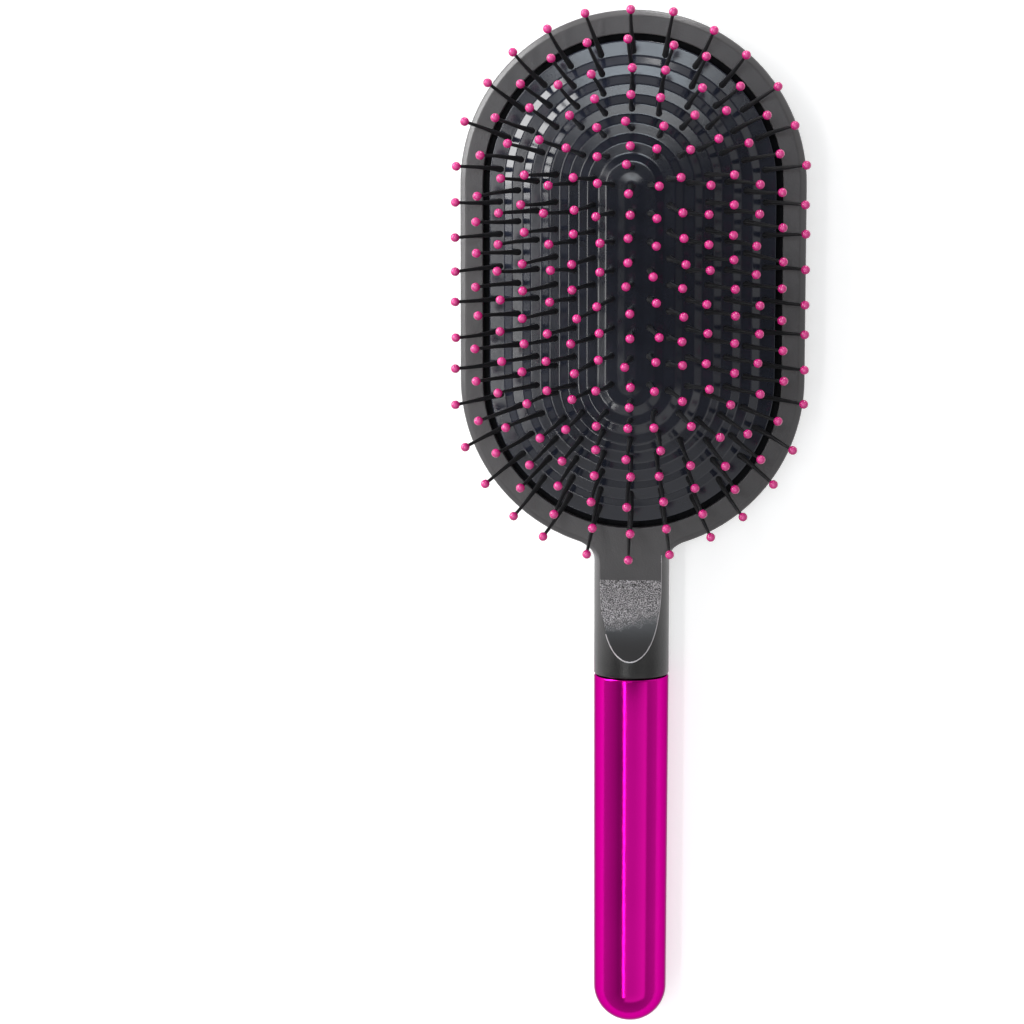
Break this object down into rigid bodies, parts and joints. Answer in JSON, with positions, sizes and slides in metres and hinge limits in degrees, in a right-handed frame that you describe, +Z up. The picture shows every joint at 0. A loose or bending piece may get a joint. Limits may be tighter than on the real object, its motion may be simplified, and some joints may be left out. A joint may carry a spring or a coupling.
{
  "type": "cushion styling brush",
  "caption": "Paddle hair brush: terraced air cushion with ball-tipped pins in rings, flat frame, round neck with a scoop on each face, and a metallic tube handle with a round end.",
  "frame": {"origin": "on the surface that the brush lies on, below the middle of its length and width", "axes": "+X across the head, +Y along the brush from the handle's end to the top of the head, +Z up, the way the pins point"},
  "size_m": [0.091, 0.2672, 0.0409],
  "materials": {
    "front_shell": "satin charcoal, fine moulded grain",
    "back_shell": "soft-touch satin charcoal",
    "sleeve": "metallic magenta, smooth",
    "cushion": "glossy blue-black rubber",
    "pin": "satin black nylon",
    "pin_tip": "glossy pink ball",
    "tray": "plain moulded",
    "core": "plain moulded, glass filled",
    "ring": "plain black rubber",
    "screw": "plated steel"
  },
  "bodies": {
    "brush": {"front_shell": "front_shell", "back_shell": "back_shell", "handle_core": "core", "handle_sleeve": "sleeve", "cushion_tray": "tray", "cushion_clamp_ring": "tray", "cushion_rim": "cushion", "sleeve_ring_1": "ring", "sleeve_ring_2": "ring", "tray_screw_1": "screw", "tray_screw_2": "screw", "tray_screw_3": "screw", "tray_screw_4": "screw", "tray_screw_5": "screw", "tray_screw_6": "screw", "tray_screw_7": "screw", "tray_screw_8": "screw"},
    "crown": {"cushion_crown": "cushion"},
    "inner": {"cushion_inner": "cushion"},
    "middle": {"cushion_middle": "cushion"},
    "outer": {"cushion_outer": "cushion"}
  },
  "joints": [
    {"name": "cushion_press", "type": "slide", "parent": "brush", "child": "crown", "axis": [0, 0, -1], "range_m": [0, 0.004], "stiffness_N_per_m": 2500},
    {"name": "inner_press", "type": "slide", "parent": "brush", "child": "inner", "axis": [0, 0, -1], "range_m": [0, 0.00355]},
    {"name": "middle_press", "type": "slide", "parent": "brush", "child": "middle", "axis": [0, 0, -1], "range_m": [0, 0.00257]},
    {"name": "outer_press", "type": "slide", "parent": "brush", "child": "outer", "axis": [0, 0, -1], "range_m": [0, 0.00103]}
  ],
  "couplings": [
    {"joint": "inner_press", "follows": "cushion_press", "ratio": 0.886},
    {"joint": "middle_press", "follows": "cushion_press", "ratio": 0.641},
    {"joint": "outer_press", "follows": "cushion_press", "ratio": 0.256}
  ]
}
